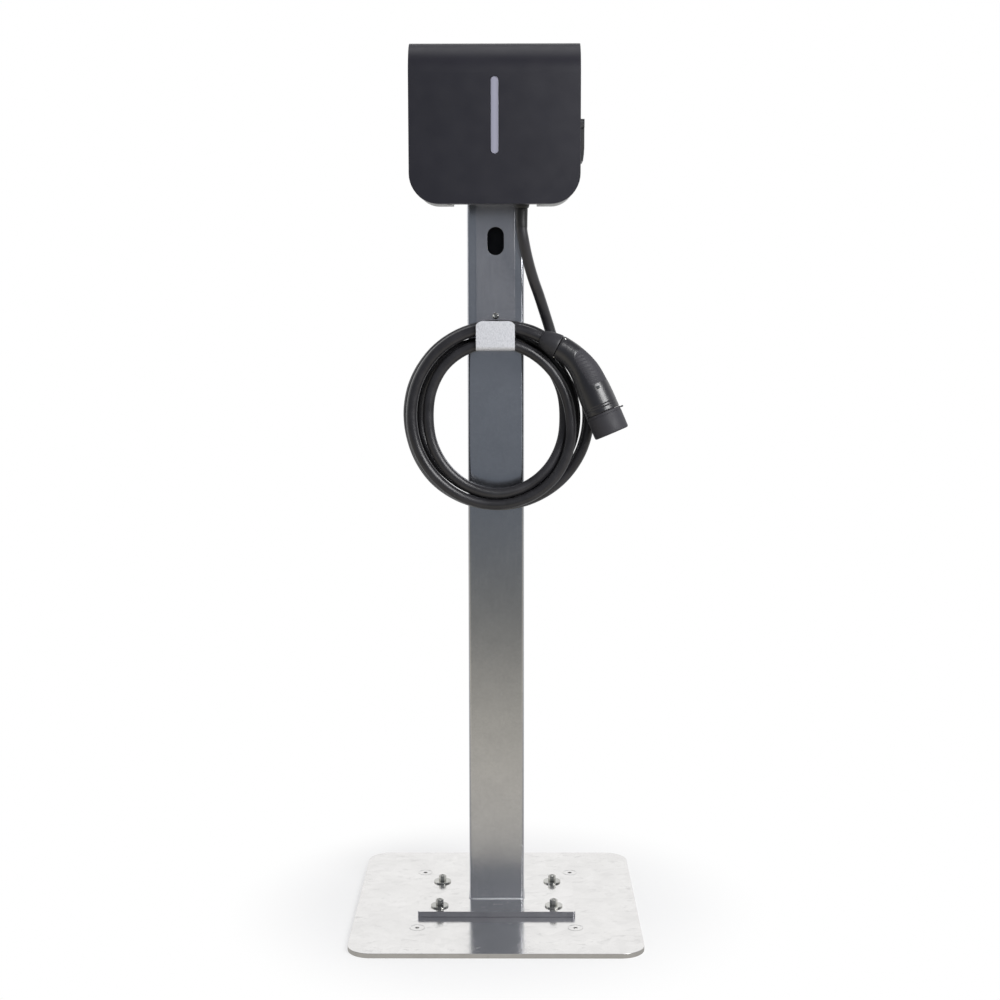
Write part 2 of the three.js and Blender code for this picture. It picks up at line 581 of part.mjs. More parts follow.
function collar() {
  const end = -PLUG_LENGTHS.collar;
  const cup = [[0, end], [10.5, end], [13.4, end + 4], [16.4, end + 13], [17.1, -0.3 - 4],
    [17.1, -0.3], [0, -0.3]];
  const bore = [[0, end - 1], [CABLE.radius + 0.6, end - 1], [CABLE.radius + 0.6, 1], [0, 1]];
  return cut(ontoAxis(turned(cup, 20)), ontoAxis(turned(bore, 12)));
}

const CONTACTS = [
  ['earth', 0, 0, 3.1], ['neutral', -12.6, 1.4, 3.1], ['line_1', 12.6, 1.4, 3.1],
  ['line_2', -6.8, -11.4, 3.1], ['line_3', 6.8, -11.4, 3.1], ['pilot', -5.4, 11.2, 1.6],
  ['proximity', 5.4, 11.2, 1.6],
];

function alongAxis(radius, a, b, s0, s1, sides) {
  const rod = new THREE.CylinderGeometry(radius, radius, s1 - s0, sides);
  return ontoAxis(rod.translate(a, (s0 + s1) / 2, b));
}

function nose() {
  const { radius, flat, back, bore } = NOSE;
  const body = new THREE.CylinderGeometry(radius, radius, PLUG_LENGTHS.nose - back, 24)
    .translate(0, (PLUG_LENGTHS.nose + back) / 2, 0);
  const flatCut = box(-30, 30, back - 1, PLUG_LENGTHS.nose + 1, flat, 40);
  const bores = CONTACTS.map(([, a, b, r]) => alongAxis(r + 0.5, a, b, bore, PLUG_LENGTHS.nose + 1, 12));
  return cut(ontoAxis(cut(body, flatCut)), ...bores);
}

function dustCap() {
  const start = PLUG_LENGTHS.shell + GAP;
  const { radius, wall, end } = CAP;
  const cup = turned([[0, start], [radius, start], [radius, PLUG_LENGTHS.cap - 2],
    [radius - 2, PLUG_LENGTHS.cap], [0, PLUG_LENGTHS.cap]], 28);
  const hollow = turned([[0, start - 1], [radius - wall, start - 1],
    [radius - wall, PLUG_LENGTHS.cap - end], [0, PLUG_LENGTHS.cap - end]], 24);
  const tab = box(-4, 4, start, start + 4, radius - 1, radius + 5);
  return ontoAxis(cut(join(cup, tab), hollow));
}

function shellScrew(s, out) {
  const head = new THREE.CylinderGeometry(2.2, 2.2, 1.6, 12);
  const place = ontoAxis(new THREE.BoxGeometry(0.1, 0.1, 0.1).translate(0, s, out));
  place.computeBoundingBox();
  const centre = place.boundingBox.getCenter(new THREE.Vector3());
  return head.translate(centre.x, -shellSurface(s, out) - 1.7, centre.z);
}

// how far the handle's surface stands forward of its middle plane, `out` from its axis
function shellSurface(s, out) {
  const next = SHELL_PROFILE.findIndex(([, at]) => at >= s);
  const [[r0, s0], [r1, s1]] = [SHELL_PROFILE[next - 1], SHELL_PROFILE[next]];
  const r = r0 + ((r1 - r0) * (s - s0)) / (s1 - s0);
  return Math.sqrt(r * r - out * out);
}

function connector(parent) {
  const plug = new THREE.Group();
  plug.position.set(PLUG.x, PLUG.y, PLUG.z);
  plug.rotation.set(0, rad(PLUG.slope), -rad(PLUG.lean));
  parent.add(plug);
  add(plug, 'connector_collar', collar(), 'black');
  add(plug, 'handle_front', shellHalf(-1), 'gloss');
  add(plug, 'handle_back', shellHalf(1), 'gloss');
  add(plug, 'connector_nose', nose(), 'black');
  CONTACTS.forEach(([name, a, b, r]) =>
    add(plug, `contact_${name}`, alongAxis(r, a, b, NOSE.bore + 1, PLUG_LENGTHS.nose - 5, 10), 'brass'));
  add(plug, 'dust_cap', dustCap(), 'rubber');
  add(plug, 'handle_screw', shellScrew(80, 9), 'zinc');
}

// ---------------------------------------------------------------- assembly

add(post, 'base_plate', basePlate(), 'plate');
corners(PLATE.screwAt, PLATE.screwAt).forEach(([x, y], i) =>
  add(post, `plate_screw_${i + 1}`, plateScrew(), 'zinc').position.set(x, y, 0));
add(post, 'foot_flange', footFlange(), 'plate');
foot(post);
add(post, 'post_tube', postTube(), 'steel');
add(post, 'post_top_cap', postTopCap(), 'black');
add(post, 'hook_bracket', hookBracket(), 'rail');
add(post, 'hook_screw', panScrew(RAIL_FRONT + GAP, 0, HOOK.screwZ, 4.6, 3.6), 'zinc');
wallBox(post);
lead(post);
connector(post);

export default post;
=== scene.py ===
"""Looks of the charging post: its lead, its moulded and pressed shells, its fasteners and every
material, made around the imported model. Metres, +Z up, the front faces -Y."""

import json
import math

import bmesh
import bpy
import numpy as np
from mathutils import Matrix, Vector

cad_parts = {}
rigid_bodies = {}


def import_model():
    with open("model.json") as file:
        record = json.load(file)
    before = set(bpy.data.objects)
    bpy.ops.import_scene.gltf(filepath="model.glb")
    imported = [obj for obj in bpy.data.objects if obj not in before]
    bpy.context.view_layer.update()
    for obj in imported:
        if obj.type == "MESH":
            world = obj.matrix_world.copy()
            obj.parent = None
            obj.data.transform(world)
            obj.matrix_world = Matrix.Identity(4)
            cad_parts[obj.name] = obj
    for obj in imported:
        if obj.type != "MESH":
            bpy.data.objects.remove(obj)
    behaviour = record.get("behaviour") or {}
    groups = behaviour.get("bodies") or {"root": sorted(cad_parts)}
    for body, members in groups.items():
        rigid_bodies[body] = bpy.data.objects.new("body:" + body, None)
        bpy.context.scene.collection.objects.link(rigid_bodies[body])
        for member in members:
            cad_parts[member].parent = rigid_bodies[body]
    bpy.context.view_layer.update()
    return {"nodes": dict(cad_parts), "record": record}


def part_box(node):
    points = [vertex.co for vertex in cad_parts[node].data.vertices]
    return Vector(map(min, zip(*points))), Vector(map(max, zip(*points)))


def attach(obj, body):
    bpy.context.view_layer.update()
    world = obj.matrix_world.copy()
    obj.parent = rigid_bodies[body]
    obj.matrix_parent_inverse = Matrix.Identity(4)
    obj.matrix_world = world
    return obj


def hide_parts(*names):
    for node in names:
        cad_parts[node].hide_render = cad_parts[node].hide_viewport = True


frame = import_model()
MM = 0.001
STAND = "stand"

# ---------------------------------------------------------------- driving places, from the frame

POST_LOW, POST_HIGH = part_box("post_tube")
COVER_LOW, COVER_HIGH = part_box("front_cover")
GLAND_LOW, GLAND_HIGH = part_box("gland_nut")
LENS_HALF = 5.9 * MM

# ---------------------------------------------------------------- camera, floor and light

LENS, SENSOR = 57.79, 36.0
BACKDROP = (1.0, 1.0, 1.0)
# the floor's shade round the plate: where it starts to fade and ends, and how pale it is at its darkest
SHADE = {"from": 0.2, "to": 0.42, "least": 0.6}


def camera():
    data = bpy.data.cameras.new("camera")
    data.lens, data.sensor_width = LENS, SENSOR
    data.clip_start, data.clip_end = 0.05, 50
    view = bpy.data.objects.new("camera", data)
    turn = Matrix.Rotation(math.radians(0.401), 4, "Z") @ Matrix.Rotation(math.radians(83.19), 4, "X")
    roll = Matrix.Rotation(math.radians(-0.094), 4, "Z")
    view.matrix_world = Matrix.Translation((0.02215, -2.3583, 0.90105)) @ turn @ roll
    bpy.context.scene.collection.objects.link(view)
    bpy.context.scene.camera = view


def area_light(name, place, target, width, height, power, tint=(1, 1, 1)):
    data = bpy.data.lights.new(name, "AREA")
    data.shape, data.size, data.size_y = "RECTANGLE", width, height
    data.energy, data.color = power, tint
    light = bpy.data.objects.new(name, data)
    aim = (Vector(target) - Vector(place)).to_track_quat("-Z", "Y")
    light.matrix_world = Matrix.Translation(place) @ aim.to_matrix().to_4x4()
    bpy.context.scene.collection.objects.link(light)


def studio():
    bpy.context.scene.view_settings.view_transform = "Standard"
    area_light("top_softbox", (0.1, 0.1, 2.9), (0, 0, 0.7), 1.4, 1.2, 5)
    area_light("key_softbox", (1.2, -1.5, 1.65), (0, 0, 0.9), 1.1, 1.2, 44)
    area_light("left_fill", (-2.4, 0.2, 1.5), (0, 0, 0.8), 0.8, 1.8, 4)
    world = bpy.data.worlds.new("studio")
    bpy.context.scene.world = world
    world.use_nodes = True
    nodes, links = world.node_tree.nodes, world.node_tree.links
    nodes.clear()
    where = nodes.new("ShaderNodeTexCoord")
    split = nodes.new("ShaderNodeSeparateXYZ")
    links.new(where.outputs["Generated"], split.inputs[0])
    behind = nodes.new("ShaderNodeMath")
    behind.operation = "MULTIPLY"
    links.new(ranged(nodes, links, split.outputs["Y"], -0.25, 0.6), behind.inputs[0])
    links.new(ranged(nodes, links, split.outputs["Z"], 0.75, 0.45), behind.inputs[1])
    front = ramp(nodes, links, split.outputs["Z"], [
        (0.0, (0.19, 0.20, 0.22)), (0.12, (0.17, 0.19, 0.22)), (0.35, (0.27, 0.28, 0.30)),
        (0.75, (0.24, 0.24, 0.26))])
    light = mix(nodes, links, behind.outputs[0], front, (0.98, 0.98, 0.98))
    glow = nodes.new("ShaderNodeBackground")
    links.new(light, glow.inputs["Color"])
    plain = nodes.new("ShaderNodeBackground")
    plain.inputs["Color"].default_value = (*BACKDROP, 1)
    choose = nodes.new("ShaderNodeMixShader")
    out = nodes.new("ShaderNodeOutputWorld")
    rays = nodes.new("ShaderNodeLightPath")
    links.new(rays.outputs["Is Camera Ray"], choose.inputs[0])
    links.new(glow.outputs[0], choose.inputs[1])
    links.new(plain.outputs[0], choose.inputs[2])
    links.new(choose.outputs[0], out.inputs[0])


def floor():
    """A wide pale floor that takes a soft shadow round the plate and fades into the backdrop. What the
    metal mirrors of it gets darker towards the front, as an unlit room does."""
    mesh = bpy.data.meshes.new("floor")
    reach = 30.0
    mesh.from_pydata([(-reach, -reach, 0), (reach, -reach, 0), (reach, reach, 0), (-reach, reach, 0)],
                     [], [(0, 1, 2, 3)])
    ground = bpy.data.objects.new("floor", mesh)
    bpy.context.scene.collection.objects.link(ground)
    paint = bpy.data.materials.new("floor")
    paint.use_nodes = True
    nodes, links = paint.node_tree.nodes, paint.node_tree.links
    nodes.clear()
    where = nodes.new("ShaderNodeTexCoord")
    length = nodes.new("ShaderNodeVectorMath")
    length.operation = "LENGTH"
    split = nodes.new("ShaderNodeSeparateXYZ")
    links.new(where.outputs["Object"], length.inputs[0])
    links.new(where.outputs["Object"], split.inputs[0])
    lit = nodes.new("ShaderNodeBsdfDiffuse")
    lit.inputs["Color"].default_value = (0.9, 0.9, 0.9, 1)
    pale = nodes.new("ShaderNodeEmission")
    pale.inputs["Color"].default_value = (*BACKDROP, 1)
    fade = nodes.new("ShaderNodeMixShader")
    pallor = ranged(nodes, links, length.outputs["Value"], SHADE["from"], SHADE["to"])
    pallor.node.inputs["To Min"].default_value = SHADE["least"]
    links.new(pallor, fade.inputs[0])
    links.new(lit.outputs[0], fade.inputs[1])
    links.new(pale.outputs[0], fade.inputs[2])
    mirrored = nodes.new("ShaderNodeEmission")
    depth = ranged(nodes, links, split.outputs["Y"], -6.0, 0.3, "LINEAR")
    links.new(ramp(nodes, links, depth, [
        (0.0, (0.18, 0.20, 0.23)), (0.22, (0.16, 0.18, 0.21)), (0.42, (0.12, 0.13, 0.14)),
        (0.58, (0.23, 0.23, 0.21)), (0.70, (0.40, 0.38, 0.34)), (0.77, (0.58, 0.55, 0.47)),
        (0.84, (0.68, 0.64, 0.56)), (0.89, (0.62, 0.59, 0.53)), (0.92, (0.40, 0.39, 0.37)),
        (0.95, (0.45, 0.45, 0.45)), (1.0, (0.7, 0.7, 0.7))]), mirrored.inputs["Color"])
    rays = nodes.new("ShaderNodeLightPath")
    choose = nodes.new("ShaderNodeMixShader")
    out = nodes.new("ShaderNodeOutputMaterial")
    links.new(rays.outputs["Is Camera Ray"], choose.inputs[0])
    links.new(mirrored.outputs[0], choose.inputs[1])
    links.new(fade.outputs[0], choose.inputs[2])
    links.new(choose.outputs[0], out.inputs["Surface"])
    mesh.materials.append(paint)


# ---------------------------------------------------------------- materials

def blank(name, base, rough, metal=0.0):
    """A new material, with its tree's nodes and links and its shader."""
    paint = bpy.data.materials.new(name)
    paint.use_nodes = True
    shader = paint.node_tree.nodes["Principled BSDF"]
    shader.inputs["Base Color"].default_value = (*base, 1)
    shader.inputs["Roughness"].default_value = rough
    shader.inputs["Metallic"].default_value = metal
    return paint, paint.node_tree.nodes, paint.node_tree.links, shader


def noise(nodes, links, scale, stretch=(1, 1, 1), detail=3.0, rough=0.5):
    """Noise over the row frame's place, `scale` features to the metre, narrower along a large stretch."""
    where = nodes.new("ShaderNodeTexCoord")
    mapping = nodes.new("ShaderNodeMapping")
    mapping.inputs["Scale"].default_value = stretch
    grain = nodes.new("ShaderNodeTexNoise")
    grain.inputs["Scale"].default_value = scale
    grain.inputs["Detail"].default_value = detail
    grain.inputs["Roughness"].default_value = rough
    links.new(where.outputs["Object"], mapping.inputs[0])
    links.new(mapping.outputs[0], grain.inputs["Vector"])
    return grain.outputs["Fac"]


def ramp(nodes, links, value, stops):
    """`value` turned into colours: stops are (position, (r, g, b)), or (position, grey)."""
    bar = nodes.new("ShaderNodeValToRGB")
    bar.color_ramp.elements.remove(bar.color_ramp.elements[1])
    for number, (place, tone) in enumerate(stops):
        stop = bar.color_ramp.elements[0] if number == 0 else bar.color_ramp.elements.new(place)
        stop.position = place
        stop.color = (*tone, 1) if isinstance(tone, tuple) else (tone, tone, tone, 1)
    links.new(value, bar.inputs[0])
    return bar.outputs[0]


def ranged(nodes, links, value, low, high, how="SMOOTHSTEP"):
    """`value` between low and high as a number from 0 to 1, by a smooth step unless told."""
    step = nodes.new("ShaderNodeMapRange")
    step.interpolation_type = how
    step.inputs["From Min"].default_value, step.inputs["From Max"].default_value = low, high
    links.new(value, step.inputs["Value"])
    return step.outputs[0]


def bump(nodes, links, shader, height, strength, distance, under=None):
    relief = nodes.new("ShaderNodeBump")
    relief.inputs["Strength"].default_value = strength
    relief.inputs["Distance"].default_value = distance
    links.new(height, relief.inputs["Height"])
    if under is not None:
        links.new(under, relief.inputs["Normal"])
    links.new(relief.outputs[0], shader.inputs["Normal"])
    return relief.outputs[0]


def mix(nodes, links, share, first, second, how="MIX"):
    blend = nodes.new("ShaderNodeMix")
    blend.data_type, blend.blend_type = "RGBA", how
    for value, socket in ((share, blend.inputs[0]), (first, blend.inputs[6]), (second, blend.inputs[7])):
        if isinstance(value, (int, float)):
            socket.default_value = value
        elif isinstance(value, tuple):
            socket.default_value = (*value, 1)
        else:
            links.new(value, socket)
    return blend.outputs[2]


def plastic(name, dark, light, rough, grain_scale, grain_depth, patch=0.06):
    """A moulded plastic: a fine grain in its surface and a slight unevenness in tone and gloss."""
    paint, nodes, links, shader = blank(name, dark, rough)
    tone = noise(nodes, links, 14, detail=2)
    links.new(ramp(nodes, links, tone, [(0.3, dark), (0.7, light)]), shader.inputs["Base Color"])
    sheen = noise(nodes, links, 45, detail=4)
    links.new(ramp(nodes, links, sheen, [(0.3, rough - patch), (0.7, rough + patch)]),
              shader.inputs["Roughness"])
    bump(nodes, links, shader, noise(nodes, links, grain_scale, detail=2), 0.5, grain_depth)
    return paint


def steel(name, dark, light, rough, streaks=None, uneven=0.03, spangle=300, stains=0.0):
    """Zinc-coated steel: cloudy tone, fine rolling streaks, faint zinc flowers and, if asked, stains."""
    paint, nodes, links, shader = blank(name, light, rough, 1.0)
    where = nodes.new("ShaderNodeTexCoord")
    flowers = nodes.new("ShaderNodeTexVoronoi")
    flowers.inputs["Scale"].default_value = spangle
    links.new(where.outputs["Object"], flowers.inputs["Vector"])
    cloud = noise(nodes, links, 16, detail=6, rough=0.65)
    base = ramp(nodes, links, cloud, [(0.32, dark), (0.68, light)])
    petals = ramp(nodes, links, flowers.outputs["Color"], [(0.2, 0.96), (0.8, 1.0)])
    tone = mix(nodes, links, 1.0, base, petals, "MULTIPLY")
    lines = noise(nodes, links, 90, stretch=streaks or (1, 1, 1), detail=5, rough=0.7)
    gloss = ramp(nodes, links, lines, [(0.3, rough - uneven), (0.7, rough + uneven)])
    if stains:
        marks = noise(nodes, links, 42, stretch=(1, 1.8, 1), detail=9, rough=0.8)
        worn = ramp(nodes, links, marks, [(0.56, 0.0), (0.66, stains)])
        tone = mix(nodes, links, worn, tone, tuple(0.62 * part for part in light))
        gloss = mix(nodes, links, worn, gloss, (rough + 0.3,) * 3)
    links.new(tone, shader.inputs["Base Color"])
    links.new(gloss, shader.inputs["Roughness"])
    wave = bump(nodes, links, shader, noise(nodes, links, 35, detail=2), 0.2, 0.05 * MM)
    bump(nodes, links, shader, lines, 0.2, 0.006 * MM, under=wave)
    return paint


def hook_steel():
    """The rail's rolled face, and from its fold forward the rough frosty zinc of the hook."""
    paint = steel("rail_steel", (0.61, 0.60, 0.62), (0.68, 0.67, 0.69), 0.24, (10, 10, 0.4))
    nodes, links = paint.node_tree.nodes, paint.node_tree.links
    shader = nodes["Principled BSDF"]
    where = nodes.new("ShaderNodeTexCoord")
    split = nodes.new("ShaderNodeSeparateXYZ")
    links.new(where.outputs["Object"], split.inputs[0])
    frosted = ranged(nodes, links, split.outputs["Y"], -0.028, -0.034)
    flakes = noise(nodes, links, 560, stretch=(1, 1, 0.55), detail=4, rough=0.7)
    frost = ramp(nodes, links, flakes, [(0.35, (0.60, 0.61, 0.65)), (0.6, (0.77, 0.78, 0.82))])
    for name, value in (("Base Color", frost), ("Roughness", (0.5,) * 3), ("Metallic", (0.35,) * 3)):
        socket = shader.inputs[name]
        was = socket.links[0].from_socket if socket.links else (1.0, 1.0, 1.0)
        links.new(mix(nodes, links, frosted, was, value), socket)
    return paint


def rubber(name, dark, light, rough):
    """A cable jacket: satin, with faint rubbed patches and a shallow long unevenness."""
    paint, nodes, links, shader = blank(name, dark, rough)
    rubbed = noise(nodes, links, 30, detail=5, rough=0.6)
    links.new(ramp(nodes, links, rubbed, [(0.35, dark), (0.75, light)]), shader.inputs["Base Color"])
    links.new(ramp(nodes, links, rubbed, [(0.3, rough - 0.05), (0.7, rough + 0.08)]),
              shader.inputs["Roughness"])
    swell = noise(nodes, links, 60, detail=1)
    wide = bump(nodes, links, shader, swell, 0.4, 0.15 * MM)
    bump(nodes, links, shader, noise(nodes, links, 1600, detail=2), 0.3, 0.02 * MM, under=wide)
    return paint


def circuit_board():
    """Solder mask over a grid of copper tracks, with pale pads."""
    paint, nodes, links, shader = blank("circuit_board", (0.01, 0.09, 0.04), 0.4)
    where = nodes.new("ShaderNodeTexCoord")
    tracks = nodes.new("ShaderNodeTexBrick")
    tracks.inputs["Scale"].default_value = 90
    tracks.inputs["Color1"].default_value = (0.01, 0.10, 0.04, 1)
    tracks.inputs["Color2"].default_value = (0.015, 0.13, 0.05, 1)
    tracks.inputs["Mortar"].default_value = (0.03, 0.2, 0.07, 1)
    turn = nodes.new("ShaderNodeMapping")
    turn.inputs["Rotation"].default_value = (math.pi / 2, 0, 0)
    links.new(where.outputs["Object"], turn.inputs[0])
    links.new(turn.outputs[0], tracks.inputs["Vector"])
    links.new(tracks.outputs["Color"], shader.inputs["Base Color"])
    bump(nodes, links, shader, tracks.outputs["Fac"], 0.3, 0.05 * MM)
    return paint


def diffuser():
    """The unlit light bar: milky, a little lighter along its middle, and painted darker towards its edges
    as painted shade from the slot's rim.
    """
    paint, nodes, links, shader = blank("light_diffuser", (0.47, 0.47, 0.58), 0.32)
    where = nodes.new("ShaderNodeTexCoord")
    split = nodes.new("ShaderNodeSeparateXYZ")
    width = nodes.new("ShaderNodeMath")
    width.operation = "ABSOLUTE"
    spread = nodes.new("ShaderNodeMapRange")
    spread.inputs["From Max"].default_value = LENS_HALF
    links.new(where.outputs["Object"], split.inputs[0])
    links.new(split.outputs["X"], width.inputs[0])
    links.new(width.outputs[0], spread.inputs["Value"])
    # painted shade: the colour falls to under half at the bar's edges, standing in for the shade of the
    # slot's rim
    milk_and_edge_shade = ramp(nodes, links, spread.outputs[0], [
        (0.0, (0.32, 0.32, 0.40)), (0.6, (0.29, 0.29, 0.36)), (1.0, (0.15, 0.15, 0.20))])
    links.new(milk_and_edge_shade, shader.inputs["Base Color"])
    bump(nodes, links, shader, noise(nodes, links, 900), 0.3, 0.03 * MM)
    return paint


PAINTS = {
    "bright_plate": steel("bright_plate", (0.80, 0.79, 0.78), (0.88, 0.87, 0.86), 0.15,
                          (3, 1, 1), 0.04, 60, 0.5),
    "post_steel": steel("post_steel", (0.55, 0.56, 0.59), (0.61, 0.62, 0.65), 0.2, (10, 10, 0.3)),
    "rail_steel": hook_steel(),
    "zinc": steel("zinc", (0.44, 0.44, 0.42), (0.60, 0.60, 0.57), 0.12, None, 0.04),
    # the flange's cut faces: duller cut-edge steel, and darker still as painted shade standing in for the
    # dark front they mirror
    "cut_edge_steel_and_shade": steel("cut_edge_steel_and_shade", (0.40, 0.40, 0.43), (0.47, 0.47, 0.50), 0.3, (10, 10, 3)),
    "weld": steel("weld", (0.50, 0.51, 0.54), (0.58, 0.59, 0.61), 0.42),
    # the post's inside: dull unplated steel, darkened to near black as painted shade inside the tube
    "dull_inside_and_shade": steel("dull_inside_and_shade", (0.05, 0.05, 0.055), (0.08, 0.08, 0.085), 0.5),
    "cover_plastic": plastic("cover_plastic", (0.0120, 0.0115, 0.0175), (0.0140, 0.0135, 0.0200), 0.38,
                             1500, 0.06 * MM, 0.03),
    "housing_plastic": plastic("housing_plastic", (0.45, 0.46, 0.47), (0.50, 0.51, 0.52), 0.5,
                               1200, 0.05 * MM),
    "black_plastic": plastic("black_plastic", (0.014, 0.014, 0.015), (0.022, 0.022, 0.023), 0.45,
                             1300, 0.05 * MM),
    "handle_gloss": plastic("handle_gloss", (0.010, 0.0098, 0.0130), (0.013, 0.0127, 0.0160), 0.33,
                            700, 0.004 * MM, 0.03),
    "soft_rubber": plastic("soft_rubber", (0.028, 0.0275, 0.034), (0.037, 0.036, 0.043), 0.6,
                           1400, 0.06 * MM),
    "collar_plastic": plastic("collar_plastic", (0.022, 0.0215, 0.026), (0.028, 0.0275, 0.032), 0.5,
                              1300, 0.05 * MM),
    "cable_rubber": rubber("cable_rubber", (0.019, 0.0185, 0.021), (0.034, 0.033, 0.038), 0.32),
    "light_diffuser": diffuser(),
    "circuit_board": circuit_board(),
    "contact_brass": steel("contact_brass", (0.55, 0.40, 0.17), (0.66, 0.50, 0.24), 0.25, (1, 1, 6)),
}
PAINTS["handle_gloss"].node_tree.nodes["Principled BSDF"].inputs["IOR"].default_value = 1.7
SLOT_OF = {row["node"]: row["material_slot"] for row in frame["record"]["subparts"]}
BODY_OF = {node: body for body, nodes in frame["record"]["behaviour"]["bodies"].items() for node in nodes}


# ---------------------------------------------------------------- making pieces

def finished(piece, slot, body, replaced=()):
    """Gives a new piece its material and its place on a body."""
    linked(piece)
    piece.data.materials.clear()
    piece.data.materials.append(PAINTS[slot])
    if replaced:
        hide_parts(*replaced)
    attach(piece, body)
    return piece


def painted(piece, paint):
    """Gives a piece another paint than its slot's."""
    piece.data.materials[0] = PAINTS[paint]


def repainted(piece, paint, chosen):
    """Gives the faces that chosen(face) picks their own paint."""
    piece.data.materials.append(PAINTS[paint])
    picked = [int(chosen(face)) for face in piece.data.polygons]
    piece.data.polygons.foreach_set("material_index", picked)


def shaded(mesh, angle=32):
    mesh.polygons.foreach_set("use_smooth", [True] * len(mesh.polygons))
    mesh.set_sharp_from_angle(angle=math.radians(angle))


def piece_of(name, points, faces, angle=32):
    mesh = bpy.data.meshes.new(name)
    mesh.from_pydata([tuple(point) for point in points], [], faces)
    mesh.validate()
    shaded(mesh, angle)
    return bpy.data.objects.new(name, mesh)


def linked(piece):
    if piece.name not in bpy.context.scene.collection.objects:
        bpy.context.scene.collection.objects.link(piece)
    return piece


def applied(piece):
    """The piece, its mesh replaced by what its modifiers make of it."""
    linked(piece)
    bpy.context.view_layer.update()
    seen = piece.evaluated_get(bpy.context.evaluated_depsgraph_get())
    mesh = bpy.data.meshes.new_from_object(seen)
    piece.modifiers.clear()
    piece.data = mesh
    return piece


def rounded(piece, width, segments=2, angle=35):
    """Rounds the piece's sharp edges, and keeps its flat faces flat in the shading."""
    edge = piece.modifiers.new("edge", "BEVEL")
    edge.width, edge.segments = width, segments
    edge.limit_method, edge.angle_limit = "ANGLE", math.radians(angle)
    edge.use_clamp_overlap = True
    applied(piece)
    shaded(piece.data, angle)
    weight = piece.modifiers.new("weight", "WEIGHTED_NORMAL")
    weight.keep_sharp = True
    return applied(piece)


def cut_by(piece, tool, how="DIFFERENCE"):
    linked(tool)
    knife = piece.modifiers.new("cut", "BOOLEAN")
    knife.operation, knife.object, knife.solver = how, tool, "EXACT"
    applied(piece)
    bpy.data.objects.remove(tool)
    return piece


def refined(node, width, segments=2):
    """A CAD node's shape again, with its edges rounded, in its record's slot."""
    mesh = frame["nodes"][node].data.copy()
    work = bmesh.new()
    work.from_mesh(mesh)
    bmesh.ops.remove_doubles(work, verts=work.verts, dist=0.01 * MM)
    bmesh.ops.dissolve_limit(work, angle_limit=math.radians(1), verts=work.verts, edges=work.edges)
    work.to_mesh(mesh)
    work.free()
    piece = bpy.data.objects.new(node + "_body", mesh)
    rounded(piece, width, segments)
    return finished(piece, SLOT_OF[node], BODY_OF[node], (node,))


def about(place, radius, turn, height):
    """The point at `height` that is `radius` from the upright axis through `place`, at `turn`."""
    return Vector((place[0] + radius * math.cos(turn), place[1] + radius * math.sin(turn), height))


def upright_at(place):
    """For lathed(): the point at `turn` round an upright axis through `place`."""
    def put(radius, height, turn):
        return Vector(place) + Vector((radius * math.cos(turn), radius * math.sin(turn), height))
    return put


def lathed(name, profile, sides, put, angle=32, closed=True):
    """A profile of (radius, height) turned by put(radius, height, turn). A closed profile's last point
    joins its first; an open one starts and ends on the axis."""
    turns = [2 * math.pi * side / sides for side in range(sides)]
    points = [put(radius, height, turn) for radius, height in profile for turn in turns]
    rows = len(profile)
    faces = []
    for row in range(rows if closed else rows - 1):
        here, above = row * sides, ((row + 1) % rows) * sides
        for side in range(sides):
            after = (side + 1) % sides
            faces.append((here + side, here + after, above + after, above + side))
    return tidied(piece_of(name, points, faces, angle), angle)


def tidied(piece, angle=32):
    """Merges points that meet and turns the faces outwards."""
    work = bmesh.new()
    work.from_mesh(piece.data)
    bmesh.ops.remove_doubles(work, verts=work.verts, dist=0.002 * MM)
    bmesh.ops.dissolve_degenerate(work, edges=work.edges, dist=0.001 * MM)
    bmesh.ops.recalc_face_normals(work, faces=work.faces)
    work.to_mesh(piece.data)
    work.free()
    shaded(piece.data, angle)
    return piece


def corner(x, z, radius, start, steps):
    """A quarter circle about (x, z), counter-clockwise from the angle `start`, in degrees."""
    turns = [math.radians(start + 90 * step / steps) for step in range(steps + 1)]
    return [(x + radius * math.cos(turn), z + radius * math.sin(turn)) for turn in turns]


def prism(name, outline, low, high, axis):
    """An outline of two coordinates carried along the third: `axis` is 0 for X, 1 for Y, 2 for Z."""
    def place(pair, depth):
        values = list(pair)
        values.insert(axis, depth)
        return values
    count = len(outline)
    points = [place(pair, low) for pair in outline] + [place(pair, high) for pair in outline]
    faces = [tuple(range(count)), tuple(range(2 * count - 1, count - 1, -1))]
    faces += [(step, count + step, count + (step + 1) % count, (step + 1) % count)[::-1]
              for step in range(count)]
    return tidied(piece_of(name, points, faces))


# ---------------------------------------------------------------- lead

CORD = {"diameter": 15.4 * MM, "step": 4 * MM}
COIL_CENTRE = (2 * MM, 747.5 * MM)
DROP_ROUTE = [
    (0.037, -0.078, 1.0393), (0.037, -0.078, 1.025), (0.0376, -0.0775, 1.010), (0.040, -0.075, 0.996),
    (0.0435, -0.069, 0.979), (0.0487, -0.060, 0.959), (0.055, -0.0505, 0.939), (0.062, -0.042, 0.920),
    (0.0695, -0.0335, 0.8975), (0.0756, -0.0265, 0.879),
    (0.0815, -0.0225, 0.861)]
TAIL_ROUTE = [
    (0.036, -0.0664, 0.8705), (0.046, -0.068, 0.8675), (0.056, -0.070, 0.8636), (0.0642, -0.0709, 0.8599)]
